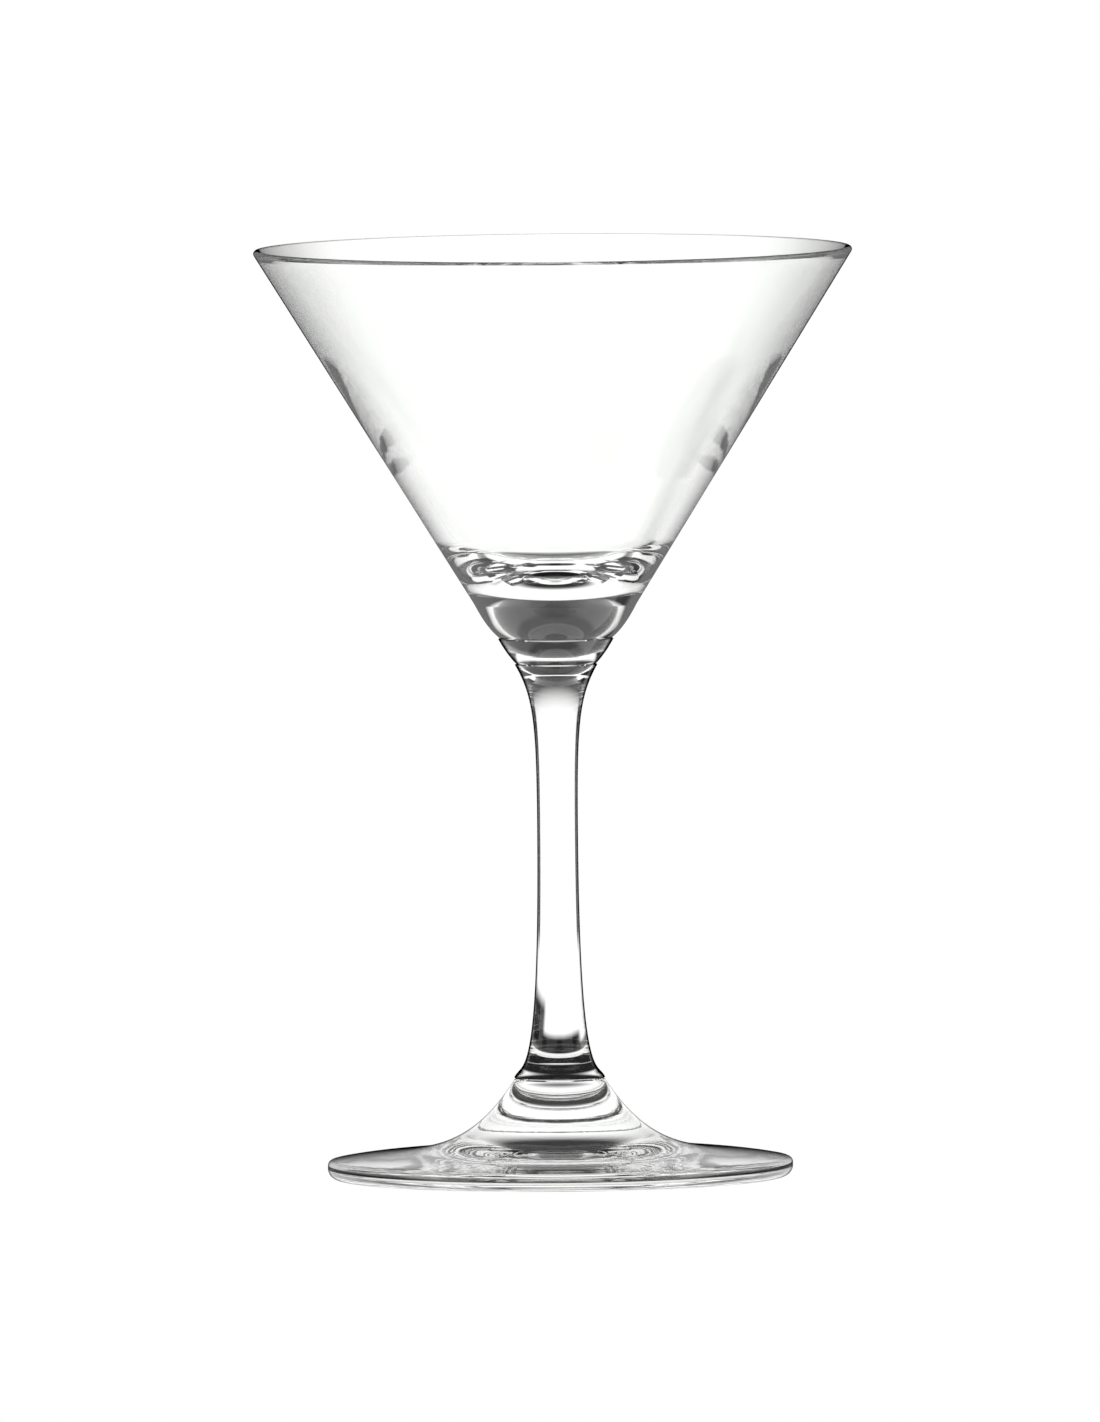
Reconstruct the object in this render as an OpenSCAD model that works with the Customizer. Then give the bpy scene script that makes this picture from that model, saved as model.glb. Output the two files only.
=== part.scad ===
// Martini glass: a cone bowl on a drawn stem and a round foot.
// Four pieces of clear glass, each made on its own and joined hot, face to face.
// Millimetres. The origin is the centre of the resting plane, and +Z is up.

/* [Bowl] */
// Widest diameter of the glass, over the lip
rim_d = 110; // [104:1:116]
// Depth of the space inside, from the lip to the lowest point
bowl_depth = 61.2; // [58:0.2:66]
// Angle between the cone's side and the vertical
cone_angle = 31.8; // [31:0.1:32.4]
// Thickness of the wall at the lip
wall = 1.3; // [1:0.1:1.6]
// Solid glass below the lowest point inside
base_h = 10.5; // [9.6:0.1:12]

/* [Collar] */
// Height of the collar between the bowl and the stem
collar_h = 4.7; // [4:0.1:6]
// Diameter where the bowl meets the collar
bowl_weld_d = 21.2; // [20:0.2:24]
// How far the collar's side swells out of a straight cone
collar_swell = 0.25; // [0:0.05:0.5]

/* [Stem] */
// Length of the stem, from weld to weld
stem_h = 76.4; // [66:0.2:90]
// Diameter where the collar meets the stem
stem_top_d = 15.2; // [14:0.2:17]
// Diameter at the slimmest point
waist_d = 7.5; // [6.5:0.1:9]
// Diameter where the stem meets the foot
stem_weld_d = 16.7; // [15:0.1:19]

/* [Foot] */
// Diameter of the foot
foot_d = 85.5; // [78:0.5:92]
// Height of the foot, from the resting plane to the stem's weld
foot_h = 18.2; // [16:0.2:20]
// Thickness of the foot just inside its rounded edge
foot_edge_h = 3.4; // [3:0.1:3.8]
// Height of the shallow hollow below the foot
hollow_h = 1.3; // [0.8:0.1:1.8]
// Width of the flat ring that the glass rests on
rest_w = 3.4; // [2:0.1:5]

/* [Hidden] */

$fn = 128;
glass = [0.9, 0.95, 0.92, 0.45];
// Fire-softened corner at each weld, which leaves a fine groove around the joint
ease = 0.2;

// Heights of the three welds and of the lip
foot_weld_z = foot_h;
stem_weld_z = foot_weld_z + stem_h;
bowl_weld_z = stem_weld_z + collar_h;
rim_z = bowl_weld_z + base_h + bowl_depth;

// The lip is a half circle across the slanting wall, and this is its centre
lip_r = wall / 2;
lip_x = rim_d / 2 - lip_r;
lip_z = rim_z - lip_r;
// Horizontal distance from the middle of the wall to either side
half_wall_x = lip_r / cos(cone_angle);

// Height of the barrel-shaped swelling at the foot of the bowl's outer cone
barrel_h = 6.3;
base_swell_z = bowl_weld_z + barrel_h;
// Distances below the lip at which the wall inside starts to thicken, reaches its
// full thickness, and turns into the round bottom
taper_drop = 18;
thick_drop = 41;
hip_drop = 52;
taper_z = rim_z - taper_drop;
thick_z = rim_z - thick_drop;
hip_z = rim_z - hip_drop;
pit_z = bowl_weld_z + base_h;
// Full thickness of the wall, measured level
thick_wall_x = 3.7;
// How gently the taper starts and ends, and the round bottom starts
taper_ease = 4;
thick_ease = 2.5;
hip_ease = 5;
// How far the lowest part stays nearly level
pit_flat_r = 9;

// Slimmest point of the stem, as a share of the stem's length
waist_share = 0.6;
waist_z = foot_weld_z + waist_share * stem_h;

// Radii of the foot's rounded edge, above and below
edge_top_r = 0.9;
edge_low_r = 1.9;
// Fall of the foot's upper face where it meets that edge, and where the arc goes on
edge_slope = 11;
edge_start = 60;

// Pulls that give the curves their shape, as steps [outwards, up] from the weld, cone or
// edge where a curve starts or ends
base_top_pull = [-0.75, -1.4];
base_low_pull = [2.2, 2.1];
flare_top_pull = [0.4, -6.3];
flare_top_end = -11.3;
flare_low_start = -2.2;
flare_low_pull = [-1.35, 3.3];
foot_weld_pull = [9.9, -15.7];
foot_edge_pull = [-15, 2.7];

// Radius of the middle of the bowl's wall at height z
function cone_x(z) = lip_x + (z - lip_z) * tan(cone_angle);

// Points of a cubic curve from a to d, which leaves towards b and arrives from c
function curve(a, b, c, d, steps) = [
    for (i = [0 : steps])
        let (t = i / steps, s = 1 - t)
        a * s * s * s + b * 3 * s * s * t + c * 3 * s * t * t + d * t * t * t
];

// Points of an arc about [x, z], from angle a0 to angle a1
function arc(x, z, r, a0, a1, steps) = [
    for (i = [0 : steps])
        let (a = a0 + (a1 - a0) * i / steps)
        [x + r * cos(a), z + r * sin(a)]
];

// Side of the bowl's solid base, swelling out between the cone and the weld
base_side = curve(
    [cone_x(base_swell_z) + half_wall_x, base_swell_z],
    [cone_x(base_swell_z) + half_wall_x, base_swell_z] + base_top_pull,
    [bowl_weld_d / 2, bowl_weld_z] + base_low_pull,
    [bowl_weld_d / 2, bowl_weld_z + ease],
    10);

// Radius inside the thin upper wall at height z, and inside the thick lower wall
function thin_x(z) = cone_x(z) - half_wall_x;
function thick_x(z) = cone_x(z) + half_wall_x - thick_wall_x;

// Inside of the wall where it thickens below the thin upper cone
wall_taper = curve(
    [thin_x(taper_z), taper_z],
    [thin_x(taper_z - taper_ease), taper_z - taper_ease],
    [thick_x(thick_z + thick_ease), thick_z + thick_ease],
    [thick_x(thick_z), thick_z],
    14);

// Inside of the bowl's round bottom
pit = curve(
    [thick_x(hip_z), hip_z],
    [thick_x(hip_z - hip_ease), hip_z - hip_ease],
    [pit_flat_r, pit_z],
    [0, pit_z],
    14);

// Side of the stem's upper flare, from the collar to the waist
upper_flare = curve(
    [stem_top_d / 2, stem_weld_z - ease],
    [waist_d / 2, stem_weld_z] + flare_top_pull,
    [waist_d / 2, stem_weld_z + flare_top_end],
    [waist_d / 2, waist_z],
    18);

// Side of the stem's lower flare, from the waist to the foot
lower_flare = curve(
    [waist_d / 2, waist_z],
    [waist_d / 2, foot_weld_z + flare_low_start],
    [stem_weld_d / 2, foot_weld_z] + flare_low_pull,
    [stem_weld_d / 2, foot_weld_z + ease],
    18);

// Upper face of the foot, sweeping out from the weld to the edge
edge_x = foot_d / 2 - edge_top_r;
edge_z = foot_edge_h - edge_top_r;
foot_top = curve(
    [stem_weld_d / 2, foot_weld_z - ease],
    [stem_weld_d / 2, foot_weld_z] + foot_weld_pull,
    [foot_d / 2, foot_edge_h] + foot_edge_pull,
    [edge_x + edge_top_r * sin(edge_slope), edge_z + edge_top_r * cos(edge_slope)],
    22);

// Underside of the foot inside the resting ring, a bell curve in height
rest_out_r = foot_d / 2 - edge_low_r;
rest_in_r = rest_out_r - rest_w;
hollow = [
    for (i = [12 : -1 : 0])
        let (u = i / 12)
        [rest_in_r * u, hollow_h * (1 + cos(180 * u)) / 2]
];

// Bowl: a thin cone that thickens downwards to a solid barrel-shaped base
module bowl() {
    color(glass)
    rotate_extrude()
    polygon(concat(
        [[0, bowl_weld_z], [0, pit_z]],
        [for (i = [len(pit) - 2 : -1 : 0]) pit[i]],
        [for (i = [len(wall_taper) - 1 : -1 : 0]) wall_taper[i]],
        arc(lip_x, lip_z, lip_r, 180 - cone_angle, -cone_angle, 12),
        base_side,
        [[bowl_weld_d / 2 - ease, bowl_weld_z]]));
}

// Collar: the small solid disc pressed on between the bowl and the stem
module collar() {
    top_r = bowl_weld_d / 2;
    low_r = stem_top_d / 2;
    side = curve(
        [low_r, stem_weld_z + ease],
        [low_r + (top_r - low_r) / 3 + collar_swell, stem_weld_z + collar_h / 3],
        [top_r - (top_r - low_r) / 3 + collar_swell, bowl_weld_z - collar_h / 3],
        [top_r, bowl_weld_z - ease],
        8);
    color(glass)
    rotate_extrude()
    polygon(concat(
        [[0, bowl_weld_z], [0, stem_weld_z], [low_r - ease, stem_weld_z]],
        side,
        [[top_r - ease, bowl_weld_z]]));
}

// Stem: a solid drawn rod that flares at both ends
module stem() {
    color(glass)
    rotate_extrude()
    polygon(concat(
        [[0, foot_weld_z], [0, stem_weld_z], [stem_top_d / 2 - ease, stem_weld_z]],
        upper_flare,
        [for (i = [1 : len(lower_flare) - 1]) lower_flare[i]],
        [[stem_weld_d / 2 - ease, foot_weld_z]]));
}

// Foot: a pressed disc with a raised middle, hollowed so that it rests on a flat ring
module foot() {
    color(glass)
    rotate_extrude()
    polygon(concat(
        [[0, foot_weld_z], [stem_weld_d / 2 - ease, foot_weld_z]],
        foot_top,
        arc(edge_x, edge_z, edge_top_r, edge_start, 0, 5),
        arc(rest_out_r, edge_low_r, edge_low_r, 0, -90, 10),
        hollow));
}

bowl();
collar();
stem();
foot();
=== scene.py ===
import math
import bpy
import numpy as np
from mathutils import Matrix, Vector


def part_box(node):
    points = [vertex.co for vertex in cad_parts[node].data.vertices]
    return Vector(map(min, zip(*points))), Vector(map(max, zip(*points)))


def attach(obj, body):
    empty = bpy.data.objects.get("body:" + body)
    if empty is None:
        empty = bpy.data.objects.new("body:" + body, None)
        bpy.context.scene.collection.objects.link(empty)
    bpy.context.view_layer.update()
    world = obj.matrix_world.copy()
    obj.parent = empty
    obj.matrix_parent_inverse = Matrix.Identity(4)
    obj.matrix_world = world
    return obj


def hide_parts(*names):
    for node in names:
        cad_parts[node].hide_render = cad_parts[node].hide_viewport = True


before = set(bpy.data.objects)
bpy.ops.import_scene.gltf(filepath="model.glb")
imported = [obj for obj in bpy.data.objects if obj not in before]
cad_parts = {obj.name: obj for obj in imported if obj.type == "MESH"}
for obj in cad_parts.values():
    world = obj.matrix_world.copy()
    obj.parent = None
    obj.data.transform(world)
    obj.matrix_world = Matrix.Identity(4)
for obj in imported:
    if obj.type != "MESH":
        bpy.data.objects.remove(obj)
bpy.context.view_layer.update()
print("frame loaded:", sorted(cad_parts))

mm = 0.001    # the pieces below are set in millimetres, like the record


def boxOf(node):
    # widest radius, lowest and highest point of a CAD node, in millimetres
    low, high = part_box(node)
    return (high.x - low.x) / 2 / mm, low.z / mm, high.z / mm


rimRadius, bowlLow, rimTop = boxOf("bowl")
collarRadius, collarLow, collarHigh = boxOf("collar")
stemRadius, stemLow, stemHigh = boxOf("stem")
footRadius, footLow, footHigh = boxOf("foot")
stemTopRadius = 7.6    # half of the collar-to-stem weld, which no box of a node shows
groove = 0.2           # chamfer at each end of a weld, leaving a fine line round the glass
gap = 0.005            # the two faces of a weld stay this far back, so that they never coincide
solid, weld = 0, 1     # material numbers on every piece


def cubicCurve(a, b, c, d, steps):
    # Bernstein form: the curve leaves a towards b and arrives at d from c
    t = np.linspace(0, 1, steps + 1)[:, None]
    a, b, c, d = (np.array(p, float) for p in (a, b, c, d))
    return (1 - t) ** 3 * a + 3 * (1 - t) ** 2 * t * b + 3 * (1 - t) * t ** 2 * c + t ** 3 * d


def arcPoints(centre, radius, start, end, steps):
    # centre plus radius times (cos, sin) of an angle that runs from start to end, in degrees
    angle = np.radians(np.linspace(start, end, steps + 1))
    return np.array(centre) + radius * np.stack([np.cos(angle), np.sin(angle)], 1)


def straightLine(a, b, steps):
    # a plus a growing share of the way to b
    t = np.linspace(0, 1, steps + 1)[:, None]
    return np.array(a, float) + t * (np.array(b, float) - np.array(a, float))


def pulled(point, pull):
    # a point moved by a pull of (outwards, up), which bends the curve that ends there
    return point[0] + pull[0], point[1] + pull[1]


def joinRuns(runs):
    # the runs of an outline end to end, with each stretch's material number, and repeats left out
    points, numbers = [], []
    for run, number in runs:
        for point in np.asarray(run, float):
            if points and np.hypot(*(point - points[-1])) < 1e-6:
                continue
            points.append(point)
            numbers.append(number)
    return np.array(points), np.array(numbers[1:])


def turnedMesh(name, points, numbers, segments, sharpAngle):
    # point (r, z) and turn a give (r cos a, r sin a, z); both ends of the outline lie on the axis
    angle = np.arange(segments) * 2 * math.pi / segments
    inner = points[1:-1]
    rings = np.stack([
        inner[:, :1] * np.cos(angle), inner[:, :1] * np.sin(angle),
        np.repeat(inner[:, 1:], segments, 1)], 2).reshape(-1, 3)
    verts = np.concatenate([[[0, 0, points[0, 1]]], rings, [[0, 0, points[-1, 1]]]]) * mm
    column = np.arange(segments)
    after = (column + 1) % segments
    ringCount = len(inner)
    row = 1 + np.arange(ringCount - 1)[:, None] * segments
    quads = np.stack([row + column, row + after, row + segments + after, row + segments + column], 2)
    lastRow = 1 + (ringCount - 1) * segments
    firstFan = np.stack([np.zeros_like(column), 1 + after, 1 + column], 1)
    lastFan = np.stack([np.full_like(column, len(verts) - 1), lastRow + column, lastRow + after], 1)
    faces = firstFan.tolist() + quads.reshape(-1, 4).tolist() + lastFan.tolist()
    faceNumbers = np.concatenate([
        np.full(segments, numbers[0]), np.repeat(numbers[1:-1], segments), np.full(segments, numbers[-1])])
    mesh = bpy.data.meshes.new(name)
    mesh.from_pydata(verts, [], faces)
    mesh.polygons.foreach_set("use_smooth", np.ones(len(faces), bool))
    mesh.polygons.foreach_set("material_index", faceNumbers.astype(np.int32))
    mesh.update()
    mesh.set_sharp_from_angle(angle=math.radians(sharpAngle))
    mesh.validate()
    piece = bpy.data.objects.new(name, mesh)
    bpy.context.scene.collection.objects.link(piece)
    return piece


def addPiece(name, node, runs, materials, segments=256, sharpAngle=24):
    points, numbers = joinRuns(runs)
    piece = turnedMesh(name, points, numbers, segments, sharpAngle)
    for material in materials:
        piece.data.materials.append(material)
    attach(piece, "root")
    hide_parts(node)
    print("made", name, "with", len(points), "outline points and", len(piece.data.polygons), "faces")


def newNode(tree, kind, **settings):
    node = tree.nodes.new(kind)
    for name, value in settings.items():
        setattr(node, name, value)
    return node


def setInputs(tree, node, values):
    # numbers are written into the sockets, other values are linked to them
    for key, value in values.items():
        if isinstance(value, (int, float, tuple)):
            node.inputs[key].default_value = value
        else:
            tree.links.new(value, node.inputs[key])


def mathOf(tree, operation, *values):
    node = newNode(tree, "ShaderNodeMath", operation=operation)
    setInputs(tree, node, dict(enumerate(values)))
    return node.outputs[0]


def smoothRamp(tree, value, start, end, low, high):
    # low up to the start, high from the end on, and an even S-shaped change between them
    node = newNode(tree, "ShaderNodeMapRange", interpolation_type="SMOOTHSTEP")
    setInputs(tree, node, {
        "Value": value, "From Min": start, "From Max": end, "To Min": low, "To Max": high})
    return node.outputs["Result"]


# marks that every piece of the glass shares, with the span of the painted side shade
markSet = dict(
    ringRise=0.8,              # how much a ring's place depends on height, beside the distance from the axis
    lineStretch=0.03,          # how slowly the drawn lines change with height
    cloudScale=60.0, cloudRange=(0.35, 0.65),
    paintedSideShadeRange=(0.35, 0.98))    # from nearly face on to nearly edge on


def glassSurfaceGroup(s):
    # tint, painted shade as a dark edge at grazing angles with a fainter painted shade under it, turned rings
    # and drawn lines
    tree = bpy.data.node_groups.new("glassSurface", "ShaderNodeTree")
    colours = {"Tint": (0.995, 1.0, 0.99, 1), "Deep Tint": (0.975, 0.99, 0.97, 1)}
    numbers = {
        "Facing": 0.0, "Edge Start": 0.86, "Edge End": 0.97, "Edge From": -0.01, "Edge To": -0.005,
        "Ring Scale": 500.0, "Ring Depth": 0.3, "Line Scale": 900.0, "Line Depth": 0.3, "Painted Side Shade": 0.0}
    for values, kind in ((colours, "NodeSocketColor"), (numbers, "NodeSocketFloat")):
        for name, value in values.items():
            socket = tree.interface.new_socket(name=name, in_out="INPUT", socket_type=kind)
            socket.default_value = value
    results = {"Color": "NodeSocketColor", "Height": "NodeSocketFloat", "Edge": "NodeSocketFloat"}
    for name, kind in results.items():
        tree.interface.new_socket(name=name, in_out="OUTPUT", socket_type=kind)
    given = newNode(tree, "NodeGroupInput").outputs
    made = newNode(tree, "NodeGroupOutput")
    place = newNode(tree, "ShaderNodeTexCoord").outputs["Object"]
    parts = newNode(tree, "ShaderNodeSeparateXYZ")
    setInputs(tree, parts, {0: place})
    x, y, z = (parts.outputs[axis] for axis in "XYZ")
    # rings follow the distance from the axis plus a share of the height, so they lie level on any side
    squares = mathOf(tree, "ADD", mathOf(tree, "MULTIPLY", x, x), mathOf(tree, "MULTIPLY", y, y))
    radius = mathOf(tree, "SQRT", squares)
    along = mathOf(tree, "ADD", radius, mathOf(tree, "MULTIPLY", z, s["ringRise"]))
    ringPlace = mathOf(tree, "MULTIPLY", along, given["Ring Scale"])
    rings = newNode(tree, "ShaderNodeTexNoise", noise_dimensions="1D")
    setInputs(tree, rings, {"W": ringPlace, "Scale": 1.0, "Detail": 2.0})
    # lines are fine across the glass and long up it
    stretch = newNode(tree, "ShaderNodeCombineXYZ")
    setInputs(tree, stretch, {"X": x, "Y": y, "Z": mathOf(tree, "MULTIPLY", z, s["lineStretch"])})
    lines = newNode(tree, "ShaderNodeTexNoise", noise_dimensions="3D")
    setInputs(tree, lines, {"Vector": stretch.outputs[0], "Scale": given["Line Scale"], "Detail": 1.0})
    height = mathOf(
        tree, "ADD", mathOf(tree, "MULTIPLY", rings.outputs[0], given["Ring Depth"]),
        mathOf(tree, "MULTIPLY", lines.outputs[0], given["Line Depth"]))
    # the painted dark edge starts at a height, and a fainter painted shade deepens slowly towards the sides
    # everywhere
    edge = mathOf(
        tree, "MULTIPLY", smoothRamp(tree, given["Facing"], given["Edge Start"], given["Edge End"], 0.0, 1.0),
        smoothRamp(tree, z, given["Edge From"], given["Edge To"], 0.0, 1.0))
    paintedSideShade = smoothRamp(tree, given["Facing"], *s["paintedSideShadeRange"], 0.0, given["Painted Side Shade"])
    # soft clouds between the two tints
    clouds = newNode(tree, "ShaderNodeTexNoise", noise_dimensions="3D")
    setInputs(tree, clouds, {"Vector": place, "Scale": s["cloudScale"], "Detail": 3.0})
    mixer = newNode(tree, "ShaderNodeMix", data_type="RGBA")    # 6, 7 and output 2 are its colours
    setInputs(tree, mixer, {
        "Factor": smoothRamp(tree, clouds.outputs[0], *s["cloudRange"], 0.0, 1.0),
        6: given["Tint"], 7: given["Deep Tint"]})
    setInputs(tree, made, {
        "Color": mixer.outputs[2], "Height": height, "Edge": mathOf(tree, "MAXIMUM", edge, paintedSideShade)})
    return tree


glassSurface = glassSurfaceGroup(markSet)

# the dark edge colours below are painted edge shade, and the bowl's side strength is a fainter painted side
# shade
glassSet = dict(
    bowl=dict(bump=0.000004, firstOnly=True, paintedEdgeShadeTint=(0.3, 0.32, 0.3, 1), surface={
        "Edge Start": 0.84, "Edge End": 0.94, "Edge From": 0.124, "Edge To": 0.134, "Painted Side Shade": 0.8,
        "Ring Scale": 260.0, "Ring Depth": 0.5, "Line Scale": 200.0, "Line Depth": 0.3}),
    collar=dict(bump=0.000008, firstOnly=False, paintedEdgeShadeTint=(0.12, 0.13, 0.12, 1), surface={
        "Edge Start": 0.6, "Edge End": 0.8,
        "Ring Scale": 900.0, "Ring Depth": 0.8, "Line Depth": 0.2}),
    stem=dict(bump=0.000004, firstOnly=False, paintedEdgeShadeTint=(0.08, 0.09, 0.08, 1), surface={
        "Edge Start": 0.52, "Edge End": 0.74,
        "Ring Scale": 120.0, "Ring Depth": 0.2, "Line Scale": 1400.0, "Line Depth": 0.5}),
    foot=dict(bump=0.00001, firstOnly=False, paintedEdgeShadeTint=(0.1, 0.11, 0.1, 1), surface={
        "Edge Start": 0.82, "Edge End": 0.97,
        "Ring Scale": 800.0, "Ring Depth": 0.9, "Line Depth": 0.1}))


def glassMaterial(name, s):
    # clear glass under a coat that bends nothing and only lends its dark tint to the edge, as painted shade
    # at grazing angles
    material = bpy.data.materials.new(name)
    material.use_nodes = True
    tree = material.node_tree
    shader = tree.nodes["Principled BSDF"]
    surface = newNode(tree, "ShaderNodeGroup", node_tree=glassSurface)
    facing = newNode(tree, "ShaderNodeLayerWeight")
    setInputs(tree, facing, {"Blend": 0.5})
    grazing = facing.outputs["Facing"]
    if s["firstOnly"]:
        # the painted edge shade darkens only the first surface the camera meets, not the many that light
        # meets in a thin wall
        rays = newNode(tree, "ShaderNodeLightPath")
        grazing = mathOf(tree, "MULTIPLY", grazing, rays.outputs["Is Camera Ray"])
    setInputs(tree, surface, dict(s["surface"], Facing=grazing))
    bump = newNode(tree, "ShaderNodeBump")
    setInputs(tree, bump, {"Strength": 1.0, "Distance": s["bump"], "Height": surface.outputs["Height"]})
    # the coat's weight and dark tint paint shade onto the glass at grazing angles
    setInputs(tree, shader, {
        "Base Color": surface.outputs["Color"], "Roughness": 0.0, "Normal": bump.outputs["Normal"],
        "IOR": 1.52, "Transmission Weight": 1.0, "Coat Weight": surface.outputs["Edge"],
        "Coat Roughness": 0.0, "Coat IOR": 1.0, "Coat Tint": s["paintedEdgeShadeTint"]})
    return material


def weldMaterial(name):
    # the inside of a weld: glass against glass, which bends no light
    material = bpy.data.materials.new(name)
    material.use_nodes = True
    tree = material.node_tree
    setInputs(tree, tree.nodes["Principled BSDF"], {
        "Base Color": (1, 1, 1, 1), "Roughness": 0.0, "IOR": 1.0, "Transmission Weight": 1.0})
    return material


glass = {name: glassMaterial(f"{name}Glass", s) for name, s in glassSet.items()}
weldGlass = weldMaterial("weldGlass")
print("glass mixed for:", ", ".join(glass))

bowlSet = dict(
    wall=1.3, coneAngle=31.8, baseHeight=10.5, swellHeight=6.3, swellPull=(-0.75, -1.4), weldPull=(2.2, 2.1),
    taperDrop=18, taperEase=(4, 2.5), thickDrop=41, thickWall=3.7, pitDrop=52, pitEase=5, pitFlat=9)


def bowlRuns(s):
    # outside: a bulging base curve and a straight cone; a half-circle lip; inside: the cone again at the
    # wall's thickness, an S-curve to the thick lower wall, and a curve down to the lowest point
    lip = s["wall"] / 2
    lipX, lipZ = rimRadius - lip, rimTop - lip
    slope = math.tan(math.radians(s["coneAngle"]))
    half = lip / math.cos(math.radians(s["coneAngle"]))

    def middle(z):
        return lipX + (z - lipZ) * slope

    def thin(z):
        return middle(z) - half, z

    def thick(z):
        return middle(z) + half - s["thickWall"], z

    swellZ = bowlLow + s["swellHeight"]
    swellEnd = (middle(swellZ) + half, swellZ)
    pitZ = bowlLow + s["baseHeight"]
    taperZ, thickZ, hipZ = (rimTop - s[name] for name in ("taperDrop", "thickDrop", "pitDrop"))
    taperStart, taperStop = s["taperEase"]
    baseSide = cubicCurve(
        (collarRadius, bowlLow + groove), pulled((collarRadius, bowlLow), s["weldPull"]),
        pulled(swellEnd, s["swellPull"]), swellEnd, 40)
    taper = cubicCurve(
        thin(taperZ), thin(taperZ - taperStart), thick(thickZ + taperStop), thick(thickZ), 50)
    pit = cubicCurve(thick(hipZ), thick(hipZ - s["pitEase"]), (s["pitFlat"], pitZ), (0, pitZ), 60)
    lipArc = arcPoints((lipX, lipZ), lip, -s["coneAngle"], 180 - s["coneAngle"], 20)
    return [
        (straightLine((0, bowlLow + gap), (collarRadius - groove, bowlLow + gap), 6), weld),
        (baseSide, solid),
        (straightLine(baseSide[-1], lipArc[0], 24), solid),
        (lipArc, solid),
        (straightLine(lipArc[-1], taper[0], 10), solid),
        (taper, solid),
        (straightLine(taper[-1], pit[0], 10), solid),
        (pit, solid)]


addPiece("glassBowl", "bowl", bowlRuns(bowlSet), [glass["bowl"], weldGlass])

collarSet = dict(swell=0.25)


def collarRuns(s):
    # a cone's side whose inner thirds are pushed out by the swell, between two flat welds
    third = (collarRadius - stemTopRadius) / 3
    rise = (collarHigh - collarLow) / 3
    side = cubicCurve(
        (stemTopRadius, collarLow + groove), (stemTopRadius + third + s["swell"], collarLow + rise),
        (collarRadius - third + s["swell"], collarHigh - rise), (collarRadius, collarHigh - groove), 30)
    return [
        (straightLine((0, collarLow + gap), (stemTopRadius - groove, collarLow + gap), 5), weld),
        (side, solid),
        (straightLine((collarRadius - groove, collarHigh - gap), (0, collarHigh - gap), 6), weld)]


addPiece("glassCollar", "collar", collarRuns(collarSet), [glass["collar"], weldGlass])

stemSet = dict(
    waist=3.75, waistShare=0.6, lowPull=(-1.35, 3.3), lowReach=-2.2, topPull=(0.4, -6.3), topReach=-11.3)


def stemRuns(s):
    # two curves that meet upright at the waist and flare out to the welds
    waistZ = stemLow + s["waistShare"] * (stemHigh - stemLow)
    lower = cubicCurve(
        (stemRadius, stemLow + groove), pulled((stemRadius, stemLow), s["lowPull"]),
        (s["waist"], stemLow + s["lowReach"]), (s["waist"], waistZ), 70)
    upper = cubicCurve(
        (s["waist"], waistZ), (s["waist"], stemHigh + s["topReach"]),
        pulled((s["waist"], stemHigh), s["topPull"]), (stemTopRadius, stemHigh - groove), 70)
    return [
        (straightLine((0, stemLow + gap), (stemRadius - groove, stemLow + gap), 5), weld),
        (lower, solid),
        (upper, solid),
        (straightLine((stemTopRadius - groove, stemHigh - gap), (0, stemHigh - gap), 5), weld)]


addPiece("glassStem", "stem", stemRuns(stemSet), [glass["stem"], weldGlass])

footSet = dict(
    edgeHeight=3.4, edgeTop=0.9, edgeLow=1.9, edgeSlope=11, edgePull=(-15, 2.7), weldPull=(9.9, -15.7),
    hollow=1.3, rest=3.4)


def footRuns(s):
    # below: half a cosine wave, then the flat ring; a rounded edge of two arcs; above: a sweep up to the weld
    edgeX, edgeZ = footRadius - s["edgeTop"], s["edgeHeight"] - s["edgeTop"]
    slope = math.radians(s["edgeSlope"])
    top = cubicCurve(
        (edgeX + s["edgeTop"] * math.sin(slope), edgeZ + s["edgeTop"] * math.cos(slope)),
        pulled((footRadius, s["edgeHeight"]), s["edgePull"]),
        pulled((stemRadius, footHigh), s["weldPull"]), (stemRadius, footHigh - groove), 90)
    restOut = footRadius - s["edgeLow"]
    restIn = restOut - s["rest"]
    u = np.linspace(0, 1, 41)
    hollow = np.stack([restIn * u, s["hollow"] * (1 + np.cos(math.pi * u)) / 2], 1)
    return [
        (hollow, solid),
        (arcPoints((restOut, s["edgeLow"]), s["edgeLow"], -90, 0, 16), solid),
        (arcPoints((edgeX, edgeZ), s["edgeTop"], 0, 90 - s["edgeSlope"], 10), solid),
        (top, solid),
        (straightLine((stemRadius - groove, footHigh - gap), (0, footHigh - gap), 5), weld)]


addPiece("glassFoot", "foot", footRuns(footSet), [glass["foot"], weldGlass])

cameraSet = dict(distance=9.0, elevation=3.3, roll=0.5, frameHeight=0.2613, aim=(-0.0012, 0, 0.0858))


def addCamera(s):
    # far off with a long lens, tilted down by the elevation and rolled a little
    data = bpy.data.cameras.new("camera")
    camera = bpy.data.objects.new("camera", data)
    bpy.context.scene.collection.objects.link(camera)
    data.sensor_width = 36
    data.lens = data.sensor_width * s["distance"] / s["frameHeight"]
    data.clip_start, data.clip_end = 0.1, 100
    tilt = math.radians(s["elevation"])
    back = Vector((0, -math.cos(tilt), math.sin(tilt)))
    camera.location = Vector(s["aim"]) + back * s["distance"]
    aimed = (-back).to_track_quat("-Z", "Y").to_matrix()
    camera.rotation_euler = (aimed @ Matrix.Rotation(math.radians(-s["roll"]), 3, "Z")).to_euler()
    bpy.context.scene.camera = camera


addCamera(cameraSet)
print("camera placed")
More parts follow.
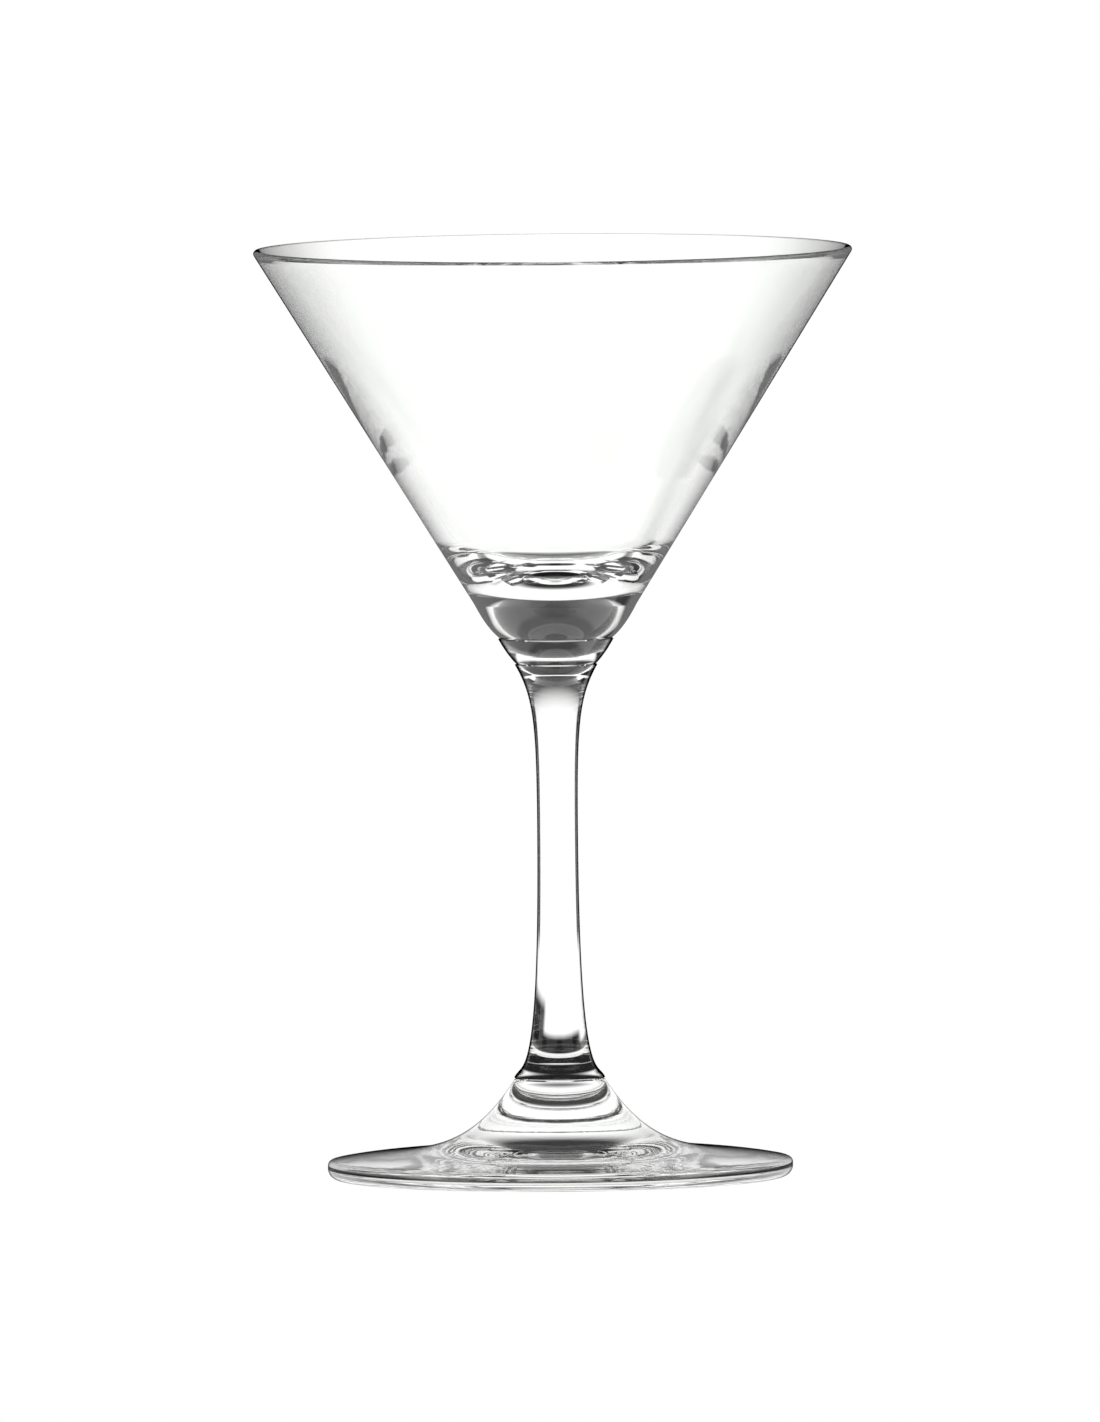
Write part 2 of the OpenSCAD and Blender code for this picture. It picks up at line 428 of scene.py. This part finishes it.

# a white tent round the glass with dark strips standing in it, and dark cards on the floor, the disc under
# the middle of the foot being a painted shadow;
# turns are in degrees from straight behind, positive to the right, distances in metres
studioSet = dict(
    white=1.18, dark=0.012, roof=0.05,
    fadeLow=3, fadeHigh=28,    # degrees above the horizon between which the tent fades into the dark roof
    # a strip is its turn, half width and soft edge, and it goes on over the floor from stripStart
    strips=[(67, 19, 6), (117, 9, 5), (180, 10, 5)],
    stripStart=(0.32, 0.45),
    # a card is its turn, half width, soft edge, the distances at which it starts and ends, and its darkness
    cardsAndPaintedShadow=[
        # the first card, a dark disc under the middle of the foot, is a painted shadow under the hub
        (0, 200, 1, (-2, -1), (0.015, 0.020), 1.0),
        (0, 200, 1, (0.049, 0.054), (0.068, 0.085), 0.8),
        (0, 34, 12, (0.050, 0.057), (0.095, 0.125), 1.0),
        (49, 25, 8, (0.052, 0.08), (0.17, 0.24), 1.0)],
    floorHalf=30, floorDrop=0.00005)


def cameraSwitch(tree, forCamera, forOthers):
    # one value for what the camera sees directly, another for what it sees through the glass
    rays = newNode(tree, "ShaderNodeLightPath")
    mixer = newNode(tree, "ShaderNodeMix", data_type="FLOAT")
    setInputs(tree, mixer, {"Factor": rays.outputs["Is Camera Ray"], "A": forOthers, "B": forCamera})
    return mixer.outputs["Result"]


def turnOf(tree, vector):
    # the parts of a direction, its signed turn from straight behind and the turn's size, in degrees
    parts = newNode(tree, "ShaderNodeSeparateXYZ")
    setInputs(tree, parts, {0: vector})
    turn = mathOf(tree, "DEGREES", mathOf(tree, "ARCTAN2", parts.outputs["X"], parts.outputs["Y"]))
    return parts, turn, mathOf(tree, "ABSOLUTE", turn)


def bandMask(tree, value, centre, half, soft):
    # 1 near the centre value, 0 beyond the half width, with a soft edge
    away = mathOf(tree, "ABSOLUTE", mathOf(tree, "SUBTRACT", value, centre))
    return smoothRamp(tree, away, half - soft / 2, half + soft / 2, 1.0, 0.0)


def lightLeft(tree, masks):
    # the share of the light that the masks leave: one minus each, multiplied together
    left = 1.0
    for mask in masks:
        left = mathOf(tree, "MULTIPLY", left, mathOf(tree, "SUBTRACT", 1.0, mask))
    return left


def addTent(s):
    world = bpy.data.worlds.new("studio")
    bpy.context.scene.world = world
    world.use_nodes = True
    tree = world.node_tree
    place = newNode(tree, "ShaderNodeTexCoord")
    parts, turn, absTurn = turnOf(tree, place.outputs["Generated"])
    rise = mathOf(tree, "DEGREES", mathOf(tree, "ARCSINE", parts.outputs["Z"]))
    left = lightLeft(tree, [bandMask(tree, absTurn, *strip) for strip in s["strips"]])
    white = smoothRamp(tree, rise, s["fadeLow"], s["fadeHigh"], s["white"], 0.0)
    least = smoothRamp(tree, rise, s["fadeLow"], s["fadeHigh"], s["dark"], s["roof"])
    level = mathOf(tree, "MAXIMUM", mathOf(tree, "MULTIPLY", left, white), least)
    setInputs(tree, tree.nodes["Background"], {
        "Color": (1, 1, 1, 1), "Strength": cameraSwitch(tree, 1.0, level)})


def addFloor(s):
    half, low = s["floorHalf"], -s["floorDrop"]
    corners = [(-half, -half, low), (half, -half, low), (half, half, low), (-half, half, low)]
    mesh = bpy.data.meshes.new("floor")
    mesh.from_pydata(corners, [], [(0, 1, 2, 3)])
    floor = bpy.data.objects.new("floor", mesh)
    bpy.context.scene.collection.objects.link(floor)
    material = bpy.data.materials.new("paleFloor")
    material.use_nodes = True
    tree = material.node_tree
    place = newNode(tree, "ShaderNodeTexCoord").outputs["Object"]
    parts, turn, absTurn = turnOf(tree, place)
    length = newNode(tree, "ShaderNodeVectorMath", operation="LENGTH")
    setInputs(tree, length, {0: place})
    reach = length.outputs["Value"]
    started = smoothRamp(tree, reach, *s["stripStart"], 0.0, 1.0)
    masks = [mathOf(tree, "MULTIPLY", started, bandMask(tree, absTurn, *strip)) for strip in s["strips"]]
    # each card takes light off the floor where it lies; the dark disc under the middle of the foot is painted
    # shadow
    for centre, wide, soft, start, end, depth in s["cardsAndPaintedShadow"]:
        across = bandMask(tree, turn, centre, wide, soft)
        begun = smoothRamp(tree, reach, *start, 0.0, 1.0)
        notOver = smoothRamp(tree, reach, *end, 1.0, 0.0)
        cardOrPaintedShadow = mathOf(tree, "MULTIPLY", across, mathOf(tree, "MULTIPLY", begun, notOver))
        masks.append(mathOf(tree, "MULTIPLY", cardOrPaintedShadow, depth))
    light = mathOf(tree, "MULTIPLY", lightLeft(tree, masks), s["white"])
    level = mathOf(tree, "MAXIMUM", light, s["dark"])
    setInputs(tree, tree.nodes["Principled BSDF"], {
        "Base Color": (0.02, 0.02, 0.02, 1), "Roughness": 0.9, "Specular IOR Level": 0.0,
        "Emission Color": (1, 1, 1, 1), "Emission Strength": cameraSwitch(tree, 1.0, level)})
    mesh.materials.append(material)


addTent(studioSet)
addFloor(studioSet)
print("studio lit")

# light crosses and bounces inside many faces of solid glass, so it needs a long path
scene = bpy.context.scene
scene.view_settings.view_transform = "Standard"
scene.cycles.max_bounces = 96
scene.cycles.transmission_bounces = 96
scene.cycles.glossy_bounces = 96
scene.cycles.transparent_max_bounces = 24
scene.cycles.diffuse_bounces = 3
scene.cycles.use_denoising = True
